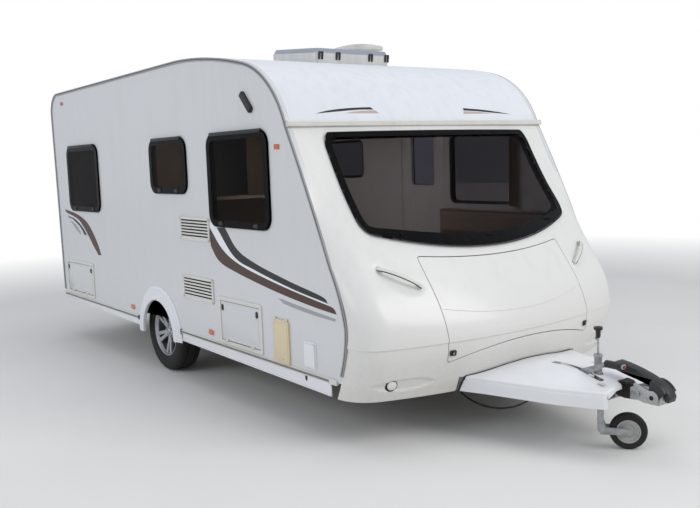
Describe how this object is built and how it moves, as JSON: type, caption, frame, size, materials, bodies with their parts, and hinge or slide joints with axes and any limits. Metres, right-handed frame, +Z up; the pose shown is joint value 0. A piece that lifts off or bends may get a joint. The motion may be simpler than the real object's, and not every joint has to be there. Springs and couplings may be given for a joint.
{
  "type": "travel caravan",
  "caption": "Single-axle touring caravan with bowed front moulding, tinted windows, side lockers, front gas locker, A-frame hitch with jockey wheel and corner steadies.",
  "frame": {"origin": "on the ground, midway between the tail and the coupling tip, on the centre line", "axes": "+X forward to the hitch, +Y to the nearside (the entry door's side), +Z up"},
  "size_m": [5.95, 2.23, 2.526],
  "materials": {
    "side_panels": "semi-gloss light grey-white",
    "white_moulding": "gloss white",
    "cream_moulding": "gloss cream-white, slightly dirty",
    "trim": "satin cream",
    "aged_plastic": "yellowed satin",
    "grey_plastic": "satin grey",
    "tinted_acrylic": "smoke-tinted acrylic",
    "seal": "black rubber",
    "roof_acrylic": "frosted acrylic",
    "roof_frame": "white plastic",
    "amber_lens": "amber lens",
    "clear_lens": "clear lens over reflector",
    "red_lens": "red lens",
    "galvanised": "galvanised",
    "cast_head": "zinc-coated casting",
    "black_plastic": "black",
    "alloy": "silver lacquered alloy",
    "tyre": "black rubber",
    "jockey_centre": "grey plastic",
    "floor_board": "sealed plywood",
    "furniture_wood": "light veneer",
    "upholstery": "beige upholstery",
    "curtain": "beige curtain cloth"
  },
  "bodies": {
    "caravan": {"offside_wall": "side_panels", "nearside_wall": "side_panels", "roof": "white_moulding", "a_frame_cover": "white_moulding", "front_panel": "cream_moulding", "rear_panel": "cream_moulding", "front_strip": "cream_moulding", "wheel_spats": "cream_moulding", "edge_rails": "trim", "side_skirts": "trim", "locker_frames": "trim", "vents_and_cover": "trim", "door_frame": "trim", "grab_handles": "grey_plastic", "window_panes": "tinted_acrylic", "front_window": "tinted_acrylic", "window_frames": "seal", "front_window_frame": "seal", "bellows": "seal", "drawbar_cable": "seal", "cable_glands": "seal", "roof_light_frame": "roof_frame", "tv_aerial": "roof_frame", "side_markers": "amber_lens", "front_lamps": "clear_lens", "rear_lamps": "red_lens", "chassis_members": "galvanised", "cross_members": "galvanised", "drawbars": "galvanised", "axle": "galvanised", "overrun_housing": "galvanised", "jockey_outer_tube": "galvanised", "coupling_head": "cast_head", "wheel_boxes": "black_plastic", "floor": "floor_board", "furniture": "furniture_wood", "front_bulkhead": "furniture_wood", "seat_cushions": "upholstery", "curtains": "curtain"},
    "offside_wheel": {"offside_tyre": "tyre", "offside_rim": "alloy"},
    "nearside_wheel": {"nearside_tyre": "tyre", "nearside_rim": "alloy"},
    "jockey_stem": {"jockey_inner_tube": "galvanised"},
    "jockey_castor": {"jockey_fork": "galvanised"},
    "jockey_wheel": {"jockey_tyre": "tyre", "jockey_rim": "jockey_centre"},
    "coupling_handle": {"coupling_handle": "black_plastic"},
    "handbrake_lever": {"handbrake_lever": "galvanised"},
    "entry_door": {"entry_door": "side_panels", "door_window": "tinted_acrylic"},
    "gas_locker_lid": {"gas_locker_lid": "cream_moulding"},
    "side_locker_door": {"side_locker_door": "side_panels"},
    "rear_locker_door": {"rear_locker_door": "side_panels"},
    "battery_box_lid": {"battery_box_lid": "aged_plastic"},
    "roof_light_lid": {"roof_light_lid": "roof_acrylic"},
    "offside_front_steady": {"offside_front_steady": "galvanised"},
    "nearside_front_steady": {"nearside_front_steady": "galvanised"},
    "offside_rear_steady": {"offside_rear_steady": "galvanised"},
    "nearside_rear_steady": {"nearside_rear_steady": "galvanised"}
  },
  "joints": [
    {"name": "offside_wheel_spin", "type": "hinge", "parent": "caravan", "child": "offside_wheel", "pos_m": [-0.775, -0.947, 0.3075], "axis": [0, 1, 0], "continuous": true},
    {"name": "nearside_wheel_spin", "type": "hinge", "parent": "caravan", "child": "nearside_wheel", "pos_m": [-0.775, 0.947, 0.3075], "axis": [0, 1, 0], "continuous": true},
    {"name": "jockey_wind", "type": "slide", "parent": "caravan", "child": "jockey_stem", "axis": [0, 0, 1], "range_m": [-0.15, 0.01]},
    {"name": "jockey_swivel", "type": "hinge", "parent": "jockey_stem", "child": "jockey_castor", "pos_m": [2.568, -0.062, 0.236], "axis": [0, 0, 1], "continuous": true},
    {"name": "jockey_wheel_spin", "type": "hinge", "parent": "jockey_castor", "child": "jockey_wheel", "pos_m": [2.69099, 0.03068, 0.1], "axis": [-0.6018, 0.7986, 0], "continuous": true},
    {"name": "coupling_latch", "type": "hinge", "parent": "caravan", "child": "coupling_handle", "pos_m": [2.89, 0, 0.338], "axis": [0, 1, 0], "range_deg": [0, 45]},
    {"name": "handbrake", "type": "hinge", "parent": "caravan", "child": "handbrake_lever", "pos_m": [2.47, -0.114, 0.398], "axis": [0, -1, 0], "range_deg": [0, 75]},
    {"name": "entry_door_hinge", "type": "hinge", "parent": "caravan", "child": "entry_door", "pos_m": [0.2215, 1.101, 1.244], "axis": [0, 0, -1], "range_deg": [0, 160]},
    {"name": "gas_locker_hinge", "type": "hinge", "parent": "caravan", "child": "gas_locker_lid", "pos_m": [1.80824, 0, 1.0047], "axis": [0, -1, 0], "range_deg": [0, 75]},
    {"name": "side_locker_hinge", "type": "hinge", "parent": "caravan", "child": "side_locker_door", "pos_m": [0.5375, -1.1025, 0.4195], "axis": [1, 0, 0], "range_deg": [0, 100]},
    {"name": "rear_locker_hinge", "type": "hinge", "parent": "caravan", "child": "rear_locker_door", "pos_m": [-2.408, -1.1025, 0.4575], "axis": [1, 0, 0], "range_deg": [0, 100]},
    {"name": "battery_box_hinge", "type": "hinge", "parent": "caravan", "child": "battery_box_lid", "pos_m": [1.04, -1.098, 0.65], "axis": [-1, 0, 0], "range_deg": [0, 90]},
    {"name": "roof_light_hinge", "type": "hinge", "parent": "caravan", "child": "roof_light_lid", "pos_m": [0.44764, 0, 2.34707], "axis": [0, 1, 0], "range_deg": [0, 50]},
    {"name": "offside_front_steady_wind", "type": "hinge", "parent": "caravan", "child": "offside_front_steady", "pos_m": [1.01, -0.7, 0.372], "axis": [0, 1, 0], "range_deg": [0, 45]},
    {"name": "offside_rear_steady_wind", "type": "hinge", "parent": "caravan", "child": "offside_rear_steady", "pos_m": [-2.15, -0.7, 0.372], "axis": [0, -1, 0], "range_deg": [0, 45]},
    {"name": "nearside_front_steady_wind", "type": "hinge", "parent": "caravan", "child": "nearside_front_steady", "pos_m": [1.01, 0.7, 0.372], "axis": [0, 1, 0], "range_deg": [0, 45]},
    {"name": "nearside_rear_steady_wind", "type": "hinge", "parent": "caravan", "child": "nearside_rear_steady", "pos_m": [-2.15, 0.7, 0.372], "axis": [0, -1, 0], "range_deg": [0, 45]}
  ]
}
